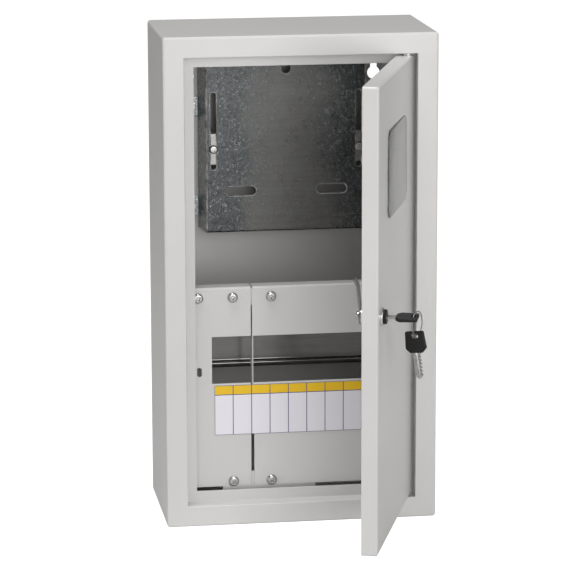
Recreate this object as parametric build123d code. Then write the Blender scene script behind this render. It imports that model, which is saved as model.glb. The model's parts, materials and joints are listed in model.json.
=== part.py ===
from build123d import *
import os
from math import cos, radians, sin, sqrt

# Wall-mounted sheet-steel enclosure with a hinged door, a meter plate and a module cover.
# Millimetres. +X right, +Y into the wall, +Z up. Heights below are measured from the box's bottom edge,
# and every piece is moved down by half the height at the end, so that the frame's origin is the
# centre of the back face.

# Cabinet
WIDTH = 260.0
HEIGHT = 470.0
DEPTH = 135.0
SHEET = 1.2
CORNER_R = 3.0
FOLD_R = 2.2
RIM = 20.0
RIM_EDGE_R = 1.0
RECESS = 16.0
LIP = 10.5

# Back wall and its wall fixings
BACK_FLANGE = 12.0
WALL_HOLE_SPACING = 183.0
WALL_HOLE_D = 6.5
KEYHOLE_D = 12.5
KEYHOLE_Z = 414.0
KEYHOLE_RISE = 10.75
LOWER_HOLE_Z = 40.0

# Cable knock-outs in the floor
KNOCKOUT_D = 29.0
KNOCKOUT_COUNT = 4
KNOCKOUT_PITCH = 50.0
KNOCKOUT_BEHIND_FRONT = 80.0
KNOCKOUT_GROOVE = 1.0
KNOCKOUT_SCORE = 0.6

# Meter plate
PLATE_WIDTH = 157.0
PLATE_FLARE = 3.8
PLATE_FACE = 100.0
PLATE_BOTTOM = 265.5
PLATE_TOP = 452.0
PLATE_SHEET = 1.2
PLATE_BOTTOM_FOLD = 10.0
EAR_WIDTH = 14.0
EAR_HEIGHT = 20.0
EAR_LOWER_Z = 287.0
EAR_UPPER_Z = 385.0
LONG_SLOT_X = 71.0
LONG_SLOT_W = 5.2
LONG_SLOT_LENGTH = 75.0
LONG_SLOT_BOTTOM = 327.5
WIRE_SLOT_X = 44.5
WIRE_SLOT_W = 8.6
WIRE_SLOT_LENGTH = 29.5
WIRE_SLOT_Z = 306.0
TOP_SLOT_W = 8.3
TOP_SLOT_BOTTOM = 420.0
TOP_SLOT_LENGTH = 22.0

# Meter fixings that slide in the long slots
SLIDER_LENGTH = 24.0
SLIDER_RISE = 8.0
SLIDER_SIDE_GAP = 0.2
SLIDER_FACE_GAP = 0.1
SLIDER_BACK_W = 11.0
SLIDER_BACK_T = 1.5
SLIDER_BACK_OVERLAP = 3.0

# Covers and what carries them
COVER_FACE = 22.0
COVER_SHEET = 1.0
COVER_BEND = 2.0
COVER_TOP = 228.0
COVER_BOTTOM = 32.5
COVER_TOP_FOLD = 15.0
COVER_SIDE_LAP = 5.0
SPLIT_X = -45.4
SPLIT_GAP = 1.2
SPLIT_RELIEF = 1.6
SPLIT_FOLD = 12.0
SPLIT_FOLD_BOTTOM = 84.0
SPLIT_FOLD_TOP = 205.0
MODULE_OPENING_LEFT = -83.5
MODULE_OPENING_RIGHT = 81.5
MODULE_OPENING_BOTTOM = 134.0
MODULE_OPENING_H = 45.8
SEAL_SLOT_INSET = 8.9
SEAL_SLOT_Z = 145.7
SEAL_SLOT_W = 4.4
SEAL_SLOT_LENGTH = 9.0
EDGE_SCREW_INSET = 8.1
SPLIT_SCREW_LEFT = 17.9
SPLIT_SCREW_RIGHT = 18.9
UPPER_SCREW_DROP = 10.0
LOWER_SCREW_RISE = 5.0
BAR_BOTTOM = 209.0
BAR_FOLD = 12.0
BAR_END_TAB = 20.0
BRACKET_LEFT = -73.5
BRACKET_RIGHT = 16.4
BRACKET_TOP = 46.5
BRACKET_FOOT = 22.0

# Label under the module opening
LABEL_MODULES = 9
MODULE_PITCH = 17.78
LABEL_LEFT = -81.2
LABEL_TOP = 132.1
LABEL_HEIGHT = 48.6
LABEL_T = 0.25

# Module rail and its brackets
RAIL_BEHIND_COVER = 44.0
RAIL_LENGTH = 196.0
RAIL_WIDTH = 35.0
RAIL_DEPTH = 7.5
RAIL_CHANNEL = 25.0
RAIL_SHEET = 1.0
RAIL_BEND = 1.4
RAIL_BRACKET_X = 88.0
RAIL_BRACKET_W = 20.0
RAIL_BRACKET_TOP = 26.0
RAIL_BRACKET_FOOT = 14.0
RAIL_BRACKET_SHEET = 1.5
RAIL_BRACKET_BEND = 3.0

# Door and hinge
DOOR_GAP = 2.0
DOOR_DEPTH = 15.0
DOOR_CORNER_R = 2.5
DOOR_OPEN = 71.2
PIVOT_FROM_EDGE = 7.0
PIVOT_FROM_FACE = 5.0
HINGE_FLANGE = 12.0
HINGE_RELIEF = 4.0
PIN_D = 4.0
PIN_CLEARANCE = 0.08
PIN_REACH = 6.0
PIN_HEAD_D = 7.0
PIN_HEAD_H = 1.6
HINGE_WASHER_D = 9.0
HINGE_WASHER_PLAY = 0.1

# Viewing window in the door
PANE_WIDTH = 112.0
PANE_HEIGHT = 80.0
PANE_CORNER_R = 12.0
PANE_Z = 360.0
PANE_PROUD = 1.5
PANE_T = 2.0
PANE_FLANGE = 10.0
PANE_GAP = 0.3
PANE_EDGE_R = 0.8
PANE_STUD_RISE = 28.0

# Lock
LOCK_FROM_EDGE = 16.0
LOCK_Z = 240.0
BEZEL_D = 16.5
BEZEL_H = 2.6
BEZEL_EDGE_R = 0.9
BARREL_D = 14.0
BARREL_FLATS = 12.0
BARREL_LENGTH = 17.5
BARREL_HOLE_GAP = 0.1
PLUG_D = 10.0
PLUG_CLEARANCE = 0.05
PLUG_PLAY = 0.2
CAP_D = 13.4
CAP_H = 2.7
CAP_EDGE_R = 0.8
KEYWAY_DEPTH = 11.5
KEYWAY_GAP = 0.2
KEY_ROLL = 5.0
CAM_SQUARE = 6.0
CAM_T = 1.5
CAM_HUB_D = 15.0
CAM_WIDTH = 11.0
CAM_LENGTH = 34.0
CAM_SLOPE_START = 6.5
CAM_SLOPE_SET = 2.6
CAM_HOOK = 6.0
CAM_HOOK_SET = 3.0
LOCK_NUT_AF = 18.0
LOCK_NUT_H = 4.0

# Keys and ring
BLADE_W = 7.2
BLADE_T = 2.0
BLADE_LENGTH = 24.0
BLADE_TANG = 7.0
BLADE_TANG_W = 5.0
TOOTH_PITCH = 3.2
TOOTH_COUNT = 6
TOOTH_DEPTH = 1.8
BOW_LENGTH = 19.6
BOW_OUTER_W = 17.6
BOW_WIDEST = 20.0
BOW_INNER_W = 12.0
BOW_SHOULDER = 4.0
BOW_T = 3.3
BOW_CORNER_R = 1.5
BOW_EDGE_R = 0.6
BOW_HOLE_FROM_END = 4.2
BOW_HOLE_LENGTH = 8.0
BOW_HOLE_W = 4.2
KEY_STANDS_OUT = 33.3
RING_R = 10.5
RING_WIRE_D = 1.2
RING_DROP = 6.4
RING_STAND_OFF = 0.6
RING_TURN = 73.0
SPARE_TILT = 8.0
SPARE_WIRE_SIDE = 2.4
SPARE_WIRE_RISE = 0.95

# Earth points
EARTH_X = -60.0
EARTH_Z = 75.0
EARTH_STUD_LENGTH = 20.0
DOOR_EARTH_X = 80.0
DOOR_EARTH_Z = 80.0
DOOR_EARTH_LENGTH = 13.0

# Fasteners: thread diameter, head or nut size, height
SCREW_D = 5.0
SCREW_HEAD_D = 10.0
SCREW_HEAD_H = 3.4
SCREW_LENGTH = 12.0
SCREW_CLEARANCE = 0.25
NUT_AF = 8.0
NUT_H = 4.0
NUT_CLEARANCE = 0.05
SMALL_SCREW_D = 4.0
SMALL_HEAD_D = 8.4
SMALL_HEAD_H = 2.6
SMALL_SCREW_LENGTH = 8.0
SLIDER_SCREW_LENGTH = 10.0
SMALL_WASHER_D = 9.0
SMALL_WASHER_T = 0.8
STUD_LENGTH = 10.0
CLIP_D = 9.0
CLIP_T = 1.0
EARTH_D = 6.0
EARTH_NUT_AF = 10.0
EARTH_NUT_H = 5.0
EARTH_WASHER_D = 12.0
EARTH_WASHER_T = 1.6
CROSS_WIDTH = 0.2
CROSS_REACH = 0.62
CROSS_DEPTH = 0.55

# Planes and places that several pieces share
FRONT = -DEPTH
MID_Z = HEIGHT / 2
OPEN_W = WIDTH - 2 * RIM
OPEN_H = HEIGHT - 2 * RIM
WALL_IN = -SHEET
INNER_X = WIDTH / 2 - SHEET
PLATE_Y = FRONT + PLATE_FACE
PLATE_BACK_Y = PLATE_Y + PLATE_SHEET
SLIDER_Z = LONG_SLOT_BOTTOM + SLIDER_RISE + SLIDER_LENGTH / 2
COVER_Y = FRONT + COVER_FACE
COVER_BACK_Y = COVER_Y + COVER_SHEET
COVER_SIDE_X = OPEN_W / 2 - LIP + COVER_SIDE_LAP
EDGE_SCREW_X = COVER_SIDE_X - EDGE_SCREW_INSET
SEAL_SLOT_X = SEAL_SLOT_INSET - COVER_SIDE_X
UPPER_SCREW_Z = COVER_TOP - UPPER_SCREW_DROP
LOWER_SCREW_Z = COVER_BOTTOM + LOWER_SCREW_RISE
RAIL_Y = COVER_Y + RAIL_BEHIND_COVER
RAIL_BACK_Y = RAIL_Y + RAIL_DEPTH
RAIL_FLOOR_Y = RAIL_BACK_Y - RAIL_SHEET
RAIL_Z = MODULE_OPENING_BOTTOM + MODULE_OPENING_H / 2
DOOR_W = OPEN_W - 2 * DOOR_GAP
DOOR_H = OPEN_H - 2 * DOOR_GAP
DOOR_IN = FRONT + SHEET
PIVOT_X = DOOR_W / 2 - PIVOT_FROM_EDGE
PIVOT_Y = FRONT + PIVOT_FROM_FACE
LOCK_X = -DOOR_W / 2 + LOCK_FROM_EDGE
BARREL_END = FRONT + BARREL_LENGTH
CAP_BACK = FRONT - BEZEL_H - PLUG_PLAY
CAP_FRONT = CAP_BACK - CAP_H
CAM_Y = BARREL_END + PLUG_PLAY
CAM_BACK_Y = CAM_Y + CAM_T
HOLE_Y = FRONT - KEY_STANDS_OUT + BOW_HOLE_FROM_END

# Turns that point a piece's own +Z along an axis of the cabinet
TO_FRONT = Rot(90, 0, 0)
TO_BACK = Rot(-90, 0, 0)


# Shared shapes
def span(x0, x1, y0, y1, z0, z1):
    """A block between two corners."""
    return Pos((x0 + x1) / 2, (y0 + y1) / 2, (z0 + z1) / 2) * Box(x1 - x0, y1 - y0, z1 - z0)


def folded(points, bend, sheet, start, length, side=Side.LEFT):
    """A bent sheet: a path of (y, z) points thickened on one side and run along X from start."""
    path = FilletPolyline(*points, radius=bend)
    section = make_face(offset(path, amount=sheet, side=side))
    return extrude(Plane.YZ.offset(start) * section, length)


def through(outline, x, z, y0, y1):
    """An outline drawn as seen from the front, run from y0 back to y1."""
    return extrude(Plane((x, y0, z), x_dir=(1, 0, 0), z_dir=(0, 1, 0)) * outline, y1 - y0)


def hole(diameter, x, z, y0, y1):
    return through(Circle(diameter / 2), x, z, y0, y1)


def upright_slot(length, width):
    return SlotOverall(length, width, rotation=90)


def pan_screw(thread, head_d, head_h, length):
    """A cross-recessed pan-head screw: the seat at z = 0, the head above it."""
    head = Pos(0, 0, head_h / 2) * Cylinder(head_d / 2, head_h)
    head = fillet(head.edges().sort_by(Axis.Z)[-1], head_h * 0.6)
    reach = head_d * CROSS_REACH
    blade = Box(reach, head_d * CROSS_WIDTH, 2 * head_h * CROSS_DEPTH)
    cross = Pos(0, 0, head_h) * (blade + Rot(0, 0, 90) * blade)
    return head - cross + Pos(0, 0, -length / 2) * Cylinder(thread / 2, length)


def hex_nut(across_flats, height, bore):
    """A nut that sits on z = 0."""
    outline = RegularPolygon(across_flats / 2, 6, major_radius=False)
    return extrude(outline - Circle(bore / 2), height)


def washer(outer, bore, thickness):
    return extrude(Circle(outer / 2) - Circle(bore / 2), thickness)


def stud(diameter, length):
    """A welded stud that stands on z = 0."""
    rod = Pos(0, 0, length / 2) * Cylinder(diameter / 2, length)
    return chamfer(rod.edges().sort_by(Axis.Z)[-1], diameter / 8)


def group(pieces):
    return Compound([piece.solid() for piece in pieces])


# Cabinet body
def cabinet_shell():
    """Walls, front rim, door recess and lip, folded and welded from one thickness of sheet."""
    body = Pos(0, FRONT / 2, MID_Z) * Box(WIDTH, DEPTH, HEIGHT)
    body = fillet(body.edges().filter_by(Axis.Y), CORNER_R)
    body = fillet(body.faces().sort_by(Axis.Y)[0].edges(), FOLD_R)
    body = offset(body, amount=-SHEET, openings=body.faces().sort_by(Axis.Y)[-1])
    tub_depth = RECESS + SHEET
    tub = Pos(0, FRONT + tub_depth / 2, MID_Z) * Box(OPEN_W + 2 * SHEET, tub_depth, OPEN_H + 2 * SHEET)
    recess = Pos(0, FRONT + RECESS / 2, MID_Z) * Box(OPEN_W, RECESS, OPEN_H)
    lip_opening = Pos(0, FRONT + tub_depth / 2, MID_Z) * Box(OPEN_W - 2 * LIP, tub_depth, OPEN_H - 2 * LIP)
    shell = body + tub - recess - lip_opening
    rim_edges = shell.faces().sort_by(Axis.Y)[0].inner_wires()[0].edges()
    shell = fillet(rim_edges, RIM_EDGE_R)
    for z in (RIM - SHEET, HEIGHT - RIM):
        shell -= Pos(PIVOT_X, PIVOT_Y, z + SHEET / 2) * Cylinder(PIN_D / 2, SHEET)
    ring = extrude(Circle(KNOCKOUT_D / 2) - Circle(KNOCKOUT_D / 2 - KNOCKOUT_GROOVE), KNOCKOUT_SCORE)
    for i in range(KNOCKOUT_COUNT):
        x = (i - (KNOCKOUT_COUNT - 1) / 2) * KNOCKOUT_PITCH
        shell -= Pos(x, FRONT + KNOCKOUT_BEHIND_FRONT, 0) * ring
    return shell


def back_wall():
    """A rear tray welded inside the walls, with two keyholes and two round holes for the wall screws."""
    tray = Pos(0, -BACK_FLANGE / 2, MID_Z) * Box(2 * INNER_X, BACK_FLANGE, HEIGHT - 2 * SHEET)
    tray = fillet(tray.edges().filter_by(Axis.Y), CORNER_R - SHEET)
    tray = offset(tray, amount=-SHEET, openings=tray.faces().sort_by(Axis.Y)[0])
    slot_length = KEYHOLE_RISE + WALL_HOLE_D
    slot = Pos(0, -KEYHOLE_RISE / 2) * upright_slot(slot_length, WALL_HOLE_D)
    for x in (-WALL_HOLE_SPACING / 2, WALL_HOLE_SPACING / 2):
        tray -= through(Circle(KEYHOLE_D / 2) + slot, x, KEYHOLE_Z, WALL_IN, 0)
        tray -= hole(WALL_HOLE_D, x, LOWER_HOLE_Z, WALL_IN, 0)
    return tray


# Meter plate
def ear_places():
    x = PLATE_WIDTH / 2 + PLATE_FLARE + EAR_WIDTH / 2
    return [(side * x, z) for side in (-1, 1) for z in (EAR_LOWER_Z, EAR_UPPER_Z)]


def plate_section(front, inset):
    """The plate seen from above, from a front plane back to the wall, with its flared sides set in."""
    lean = PLATE_FLARE / (WALL_IN - PLATE_Y)
    wide = PLATE_WIDTH / 2 + PLATE_FLARE - inset * sqrt(1 + lean ** 2)
    narrow = wide - lean * (WALL_IN - front)
    outline = Polyline((-narrow, front), (narrow, front), (wide, WALL_IN), (-wide, WALL_IN), close=True)
    return Pos(0, 0, PLATE_BOTTOM) * make_face(outline)


def meter_plate():
    """A hat-shaped plate: face, side walls that flare back to the wall, a short bottom fold and four ears."""
    plate = extrude(plate_section(PLATE_Y, 0), PLATE_TOP - PLATE_BOTTOM)
    face_edges = plate.faces().sort_by(Axis.Y)[0].edges().sort_by(Axis.Z)
    plate = fillet(face_edges[:3], FOLD_R)
    plate = offset(plate, amount=-PLATE_SHEET,
                   openings=[plate.faces().sort_by(Axis.Y)[-1], plate.faces().sort_by(Axis.Z)[-1]])
    plate -= extrude(plate_section(PLATE_Y + PLATE_BOTTOM_FOLD, PLATE_SHEET), PLATE_SHEET)
    for x, z in ear_places():
        inner = x - EAR_WIDTH / 2 - PLATE_SHEET if x > 0 else x - EAR_WIDTH / 2
        plate += span(inner, inner + EAR_WIDTH + PLATE_SHEET, WALL_IN - PLATE_SHEET, WALL_IN,
                      z - EAR_HEIGHT / 2, z + EAR_HEIGHT / 2)
        plate -= hole(SCREW_D + 2 * SCREW_CLEARANCE, x, z, WALL_IN - PLATE_SHEET, WALL_IN)
    for side in (-1, 1):
        plate -= through(upright_slot(LONG_SLOT_LENGTH, LONG_SLOT_W), side * LONG_SLOT_X,
                         LONG_SLOT_BOTTOM + LONG_SLOT_LENGTH / 2, PLATE_Y, PLATE_BACK_Y)
        plate -= through(SlotOverall(WIRE_SLOT_LENGTH, WIRE_SLOT_W), side * WIRE_SLOT_X, WIRE_SLOT_Z,
                         PLATE_Y, PLATE_BACK_Y)
    plate -= through(upright_slot(TOP_SLOT_LENGTH, TOP_SLOT_W), 0, TOP_SLOT_BOTTOM + TOP_SLOT_LENGTH / 2,
                     PLATE_Y, PLATE_BACK_Y)
    return plate


def plate_studs():
    return group(Pos(x, WALL_IN, z) * TO_FRONT * stud(SCREW_D, STUD_LENGTH) for x, z in ear_places())


def plate_nuts():
    nut = hex_nut(NUT_AF, NUT_H, SCREW_D + 2 * NUT_CLEARANCE)
    return group(Pos(x, WALL_IN - PLATE_SHEET, z) * TO_FRONT * nut for x, z in ear_places())


def slider(side):
    """A rib that fills the slot's width, on a wider plate behind the meter plate."""
    x = side * LONG_SLOT_X
    z = SLIDER_Z
    back = PLATE_BACK_Y + SLIDER_FACE_GAP
    rib = upright_slot(SLIDER_LENGTH, LONG_SLOT_W - 2 * SLIDER_SIDE_GAP)
    plate = Rectangle(SLIDER_BACK_W, SLIDER_LENGTH + 2 * SLIDER_BACK_OVERLAP)
    solid = through(rib, x, z, PLATE_Y, back) + through(plate, x, z, back, back + SLIDER_BACK_T)
    return solid - hole(SMALL_SCREW_D + 2 * NUT_CLEARANCE, x, z, PLATE_Y, back + SLIDER_BACK_T)


def slider_screw(side):
    screw = pan_screw(SMALL_SCREW_D, SMALL_HEAD_D, SMALL_HEAD_H, SLIDER_SCREW_LENGTH)
    return Pos(side * LONG_SLOT_X, PLATE_Y - SLIDER_FACE_GAP, SLIDER_Z) * TO_FRONT * screw


# Covers
def cover_sheet(x0, x1):
    """A front sheet with its top edge folded back."""
    return folded([(COVER_Y + COVER_TOP_FOLD, COVER_TOP), (COVER_Y, COVER_TOP), (COVER_Y, COVER_BOTTOM)],
                  COVER_BEND, COVER_SHEET, x0, x1 - x0)


def module_opening(x0, x1):
    return span(x0, x1, COVER_Y, COVER_BACK_Y, MODULE_OPENING_BOTTOM, MODULE_OPENING_BOTTOM + MODULE_OPENING_H)


def screw_places():
    beside_split = (SPLIT_X - SPLIT_SCREW_LEFT, SPLIT_X + SPLIT_SCREW_RIGHT)
    upper = [(x, UPPER_SCREW_Z) for x in (-EDGE_SCREW_X, *beside_split, EDGE_SCREW_X)]
    return upper + [(x, LOWER_SCREW_Z) for x in beside_split]


def drilled(sheet, y0, y1):
    """The cover screws' clearance holes, made wherever they meet the sheet."""
    for x, z in screw_places():
        sheet -= hole(SCREW_D + 2 * SCREW_CLEARANCE, x, z, y0, y1)
    return sheet


def left_cover():
    edge = SPLIT_X - SPLIT_GAP / 2
    cover = cover_sheet(-COVER_SIDE_X, edge) - module_opening(MODULE_OPENING_LEFT, edge)
    cover -= through(upright_slot(SEAL_SLOT_LENGTH, SEAL_SLOT_W), SEAL_SLOT_X, SEAL_SLOT_Z, COVER_Y, COVER_BACK_Y)
    return drilled(cover, COVER_Y, COVER_BACK_Y)


def right_cover():
    """The wider cover, with a fold along the split that also bridges the opening, and its edge cut back below."""
    edge = SPLIT_X + SPLIT_GAP / 2
    cover = cover_sheet(edge, COVER_SIDE_X) - module_opening(edge + COVER_SHEET, MODULE_OPENING_RIGHT)
    cover += span(edge, edge + COVER_SHEET, COVER_Y, COVER_Y + SPLIT_FOLD, SPLIT_FOLD_BOTTOM, SPLIT_FOLD_TOP)
    cover -= span(edge, edge + SPLIT_RELIEF, COVER_Y, COVER_BACK_Y, COVER_BOTTOM, SPLIT_FOLD_BOTTOM)
    return drilled(cover, COVER_Y, COVER_BACK_Y)


def upper_cover_bar():
    """An angle from side wall to side wall under the covers' top folds, with welded end tabs."""
    top = COVER_TOP - COVER_BEND
    front = COVER_BACK_Y
    bar = folded([(front, top), (front, BAR_BOTTOM), (front + BAR_FOLD, BAR_BOTTOM)], FOLD_R, SHEET,
                 -INNER_X, 2 * INNER_X)
    for x in (-INNER_X, INNER_X - SHEET):
        bar += span(x, x + SHEET, front, front + BAR_END_TAB, BAR_BOTTOM, top)
    return drilled(bar, front, front + SHEET)


def lower_cover_bracket():
    """An angle on the floor behind the covers' lower edge."""
    front = COVER_BACK_Y
    bracket = folded([(front, BRACKET_TOP), (front, SHEET), (front + BRACKET_FOOT, SHEET)], FOLD_R, SHEET,
                     BRACKET_LEFT, BRACKET_RIGHT - BRACKET_LEFT)
    return drilled(bracket, front, front + SHEET)


def cover_screws():
    screw = pan_screw(SCREW_D, SCREW_HEAD_D, SCREW_HEAD_H, SCREW_LENGTH)
    return group(Pos(x, COVER_Y, z) * TO_FRONT * screw for x, z in screw_places())


def cover_nuts():
    nut = hex_nut(NUT_AF, NUT_H, SCREW_D + 2 * NUT_CLEARANCE)
    return group(Pos(x, COVER_BACK_Y + SHEET, z) * TO_BACK * nut for x, z in screw_places())


def module_label():
    width = LABEL_MODULES * MODULE_PITCH
    return span(LABEL_LEFT, LABEL_LEFT + width, COVER_Y - LABEL_T, COVER_Y, LABEL_TOP - LABEL_HEIGHT, LABEL_TOP)


# Module rail
def rail_screw_places():
    return [(side * RAIL_BRACKET_X, RAIL_Z) for side in (-1, 1)]


def din_rail():
    """A top-hat rail, open to the front."""
    lip = RAIL_WIDTH / 2
    wall = RAIL_CHANNEL / 2
    points = [(RAIL_Y, RAIL_Z - lip), (RAIL_Y, RAIL_Z - wall), (RAIL_FLOOR_Y, RAIL_Z - wall),
              (RAIL_FLOOR_Y, RAIL_Z + wall), (RAIL_Y, RAIL_Z + wall), (RAIL_Y, RAIL_Z + lip)]
    rail = folded(points, RAIL_BEND, RAIL_SHEET, -RAIL_LENGTH / 2, RAIL_LENGTH, Side.RIGHT)
    for x, z in rail_screw_places():
        rail -= hole(SCREW_D + 2 * SCREW_CLEARANCE, x, z, RAIL_FLOOR_Y, RAIL_BACK_Y)
    return rail


def rail_brackets():
    """Two hat brackets that hold the rail off the back wall."""
    half = RAIL_BRACKET_TOP / 2
    foot = half + RAIL_BRACKET_FOOT
    top = RAIL_BACK_Y
    ground = WALL_IN - RAIL_BRACKET_SHEET
    points = [(ground, RAIL_Z + foot), (ground, RAIL_Z + half), (top, RAIL_Z + half),
              (top, RAIL_Z - half), (ground, RAIL_Z - half), (ground, RAIL_Z - foot)]
    brackets = []
    for x, z in rail_screw_places():
        bracket = folded(points, RAIL_BRACKET_BEND, RAIL_BRACKET_SHEET, x - RAIL_BRACKET_W / 2, RAIL_BRACKET_W)
        brackets.append(bracket - hole(SCREW_D + 2 * NUT_CLEARANCE, x, z, top, top + RAIL_BRACKET_SHEET))
    return group(brackets)


def rail_screws():
    screw = pan_screw(SCREW_D, SCREW_HEAD_D, SCREW_HEAD_H, SCREW_LENGTH)
    return group(Pos(x, RAIL_FLOOR_Y, z) * TO_FRONT * screw for x, z in rail_screw_places())


# Earth point on the back wall
def earth_stud():
    return Pos(EARTH_X, WALL_IN, EARTH_Z) * TO_FRONT * stud(EARTH_D, EARTH_STUD_LENGTH)


def earth_washers():
    disc = washer(EARTH_WASHER_D, EARTH_D + 2 * NUT_CLEARANCE, EARTH_WASHER_T)
    return group(Pos(EARTH_X, WALL_IN - i * EARTH_WASHER_T, EARTH_Z) * TO_FRONT * disc for i in range(2))


def earth_nut():
    nut = hex_nut(EARTH_NUT_AF, EARTH_NUT_H, EARTH_D + 2 * NUT_CLEARANCE)
    return Pos(EARTH_X, WALL_IN - 2 * EARTH_WASHER_T, EARTH_Z) * TO_FRONT * nut


# Hinge
def hinge_ends():
    """Each end of the hinge: the height of the opening's edge, and which way the pin points."""
    return [(RIM, 1), (HEIGHT - RIM, -1)]


def hinge_pins():
    pins = []
    for z, up in hinge_ends():
        reach = DOOR_GAP + SHEET + PIN_REACH
        rod = Pos(0, 0, (reach - SHEET) / 2) * Cylinder(PIN_D / 2, reach + SHEET)
        head = Pos(0, 0, -SHEET - PIN_HEAD_H / 2) * Cylinder(PIN_HEAD_D / 2, PIN_HEAD_H)
        turn = Rot(0, 0, 0) if up > 0 else Rot(180, 0, 0)
        pins.append(Pos(PIVOT_X, PIVOT_Y, z) * turn * (rod + head))
    return group(pins)


def hinge_washers():
    """Spacers in the gap over and under the door; the lower one carries it."""
    thickness = DOOR_GAP - HINGE_WASHER_PLAY
    disc = washer(HINGE_WASHER_D, PIN_D + 2 * PIN_CLEARANCE, thickness)
    discs = []
    for z, up in hinge_ends():
        discs.append(Pos(PIVOT_X, PIVOT_Y, z if up > 0 else z - thickness) * disc)
    return group(discs)


# Door, drawn closed
def double_d(diameter, flats):
    return Circle(diameter / 2) & Rectangle(flats, diameter)


def door_panel():
    """A folded pan; the hinge side is shallower so that it clears the lip as it swings."""
    pan = Pos(0, FRONT + DOOR_DEPTH / 2, MID_Z) * Box(DOOR_W, DOOR_DEPTH, DOOR_H)
    pan = fillet(pan.edges().filter_by(Axis.Y), DOOR_CORNER_R)
    pan = fillet(pan.faces().sort_by(Axis.Y)[0].edges(), FOLD_R)
    pan = offset(pan, amount=-SHEET, openings=pan.faces().sort_by(Axis.Y)[-1])
    edge = DOOR_W / 2
    back = FRONT + DOOR_DEPTH
    step = FRONT + HINGE_FLANGE
    relief = Polyline((edge - HINGE_RELIEF, back), (edge, step), (edge + DOOR_GAP, step), (edge + DOOR_GAP, back),
                      close=True)
    pan -= extrude(make_face(relief), HEIGHT)
    pan -= span(edge - DOOR_CORNER_R - SHEET, edge, step, back, RIM + DOOR_GAP + SHEET,
                HEIGHT - RIM - DOOR_GAP - SHEET)
    for z in (RIM + DOOR_GAP, HEIGHT - RIM - DOOR_GAP - SHEET):
        pan -= Pos(PIVOT_X, PIVOT_Y, z + SHEET / 2) * Cylinder(PIN_D / 2 + PIN_CLEARANCE, SHEET)
    pan -= through(RectangleRounded(PANE_WIDTH, PANE_HEIGHT, PANE_CORNER_R), 0, PANE_Z, FRONT, DOOR_IN)
    lock_hole = double_d(BARREL_D + 2 * BARREL_HOLE_GAP, BARREL_FLATS + 2 * BARREL_HOLE_GAP)
    return pan - through(lock_hole, LOCK_X, LOCK_Z, FRONT, DOOR_IN)


def pane_stud_places():
    x = (PANE_WIDTH + PANE_FLANGE) / 2
    return [(side * x, PANE_Z + rise) for side in (-1, 1) for rise in (-PANE_STUD_RISE, PANE_STUD_RISE)]


def window_pane():
    """A moulded clear pane: a flange behind the door sheet and a raised panel through its cut-out."""
    flange = RectangleRounded(PANE_WIDTH + 2 * PANE_FLANGE, PANE_HEIGHT + 2 * PANE_FLANGE,
                              PANE_CORNER_R + PANE_FLANGE)
    raised = RectangleRounded(PANE_WIDTH - 2 * PANE_GAP, PANE_HEIGHT - 2 * PANE_GAP, PANE_CORNER_R - PANE_GAP)
    hollow = RectangleRounded(PANE_WIDTH - 2 * PANE_GAP - 2 * PANE_T, PANE_HEIGHT - 2 * PANE_GAP - 2 * PANE_T,
                              PANE_CORNER_R - PANE_GAP - PANE_T)
    panel = through(raised, 0, PANE_Z, FRONT - PANE_PROUD, DOOR_IN)
    panel = fillet(panel.faces().sort_by(Axis.Y)[0].edges(), PANE_EDGE_R)
    pane = panel + through(flange, 0, PANE_Z, DOOR_IN, DOOR_IN + PANE_T)
    pane -= through(hollow, 0, PANE_Z, FRONT - PANE_PROUD + PANE_T, DOOR_IN + PANE_T)
    for x, z in pane_stud_places():
        pane -= hole(SMALL_SCREW_D + 2 * SCREW_CLEARANCE, x, z, DOOR_IN, DOOR_IN + PANE_T)
    return pane


def pane_studs():
    return group(Pos(x, DOOR_IN, z) * TO_BACK * stud(SMALL_SCREW_D, STUD_LENGTH) for x, z in pane_stud_places())


def pane_clips():
    clip = washer(CLIP_D, SMALL_SCREW_D + 2 * NUT_CLEARANCE, CLIP_T)
    return group(Pos(x, DOOR_IN + PANE_T, z) * TO_BACK * clip for x, z in pane_stud_places())


def door_earth_stud():
    return Pos(DOOR_EARTH_X, DOOR_IN, DOOR_EARTH_Z) * TO_BACK * stud(EARTH_D, DOOR_EARTH_LENGTH)


def door_earth_washer():
    disc = washer(EARTH_WASHER_D, EARTH_D + 2 * NUT_CLEARANCE, EARTH_WASHER_T)
    return Pos(DOOR_EARTH_X, DOOR_IN, DOOR_EARTH_Z) * TO_BACK * disc


def door_earth_nut():
    nut = hex_nut(EARTH_NUT_AF, EARTH_NUT_H, EARTH_D + 2 * NUT_CLEARANCE)
    return Pos(DOOR_EARTH_X, DOOR_IN + EARTH_WASHER_T, DOOR_EARTH_Z) * TO_BACK * nut


# Lock, drawn on the closed door
def lock_housing():
    """A flanged barrel with two flats, held in the door by a nut."""
    bezel = hole(BEZEL_D, LOCK_X, LOCK_Z, FRONT - BEZEL_H, FRONT)
    bezel = fillet(bezel.faces().sort_by(Axis.Y)[0].edges(), BEZEL_EDGE_R)
    barrel = through(double_d(BARREL_D, BARREL_FLATS), LOCK_X, LOCK_Z, FRONT, BARREL_END)
    return bezel + barrel - hole(PLUG_D + 2 * PLUG_CLEARANCE, LOCK_X, LOCK_Z, FRONT - BEZEL_H, BARREL_END)


def lock_nut():
    nut = extrude(RegularPolygon(LOCK_NUT_AF / 2, 6, major_radius=False)
                  - double_d(BARREL_D + 2 * NUT_CLEARANCE, BARREL_FLATS + 2 * NUT_CLEARANCE), LOCK_NUT_H)
    return Pos(LOCK_X, DOOR_IN, LOCK_Z) * TO_BACK * nut


def keyway():
    outline = Rectangle(BLADE_W + 2 * KEYWAY_GAP, BLADE_T + 2 * KEYWAY_GAP, rotation=-KEY_ROLL)
    return through(outline, LOCK_X, LOCK_Z, CAP_FRONT, FRONT + KEYWAY_DEPTH)


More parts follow.
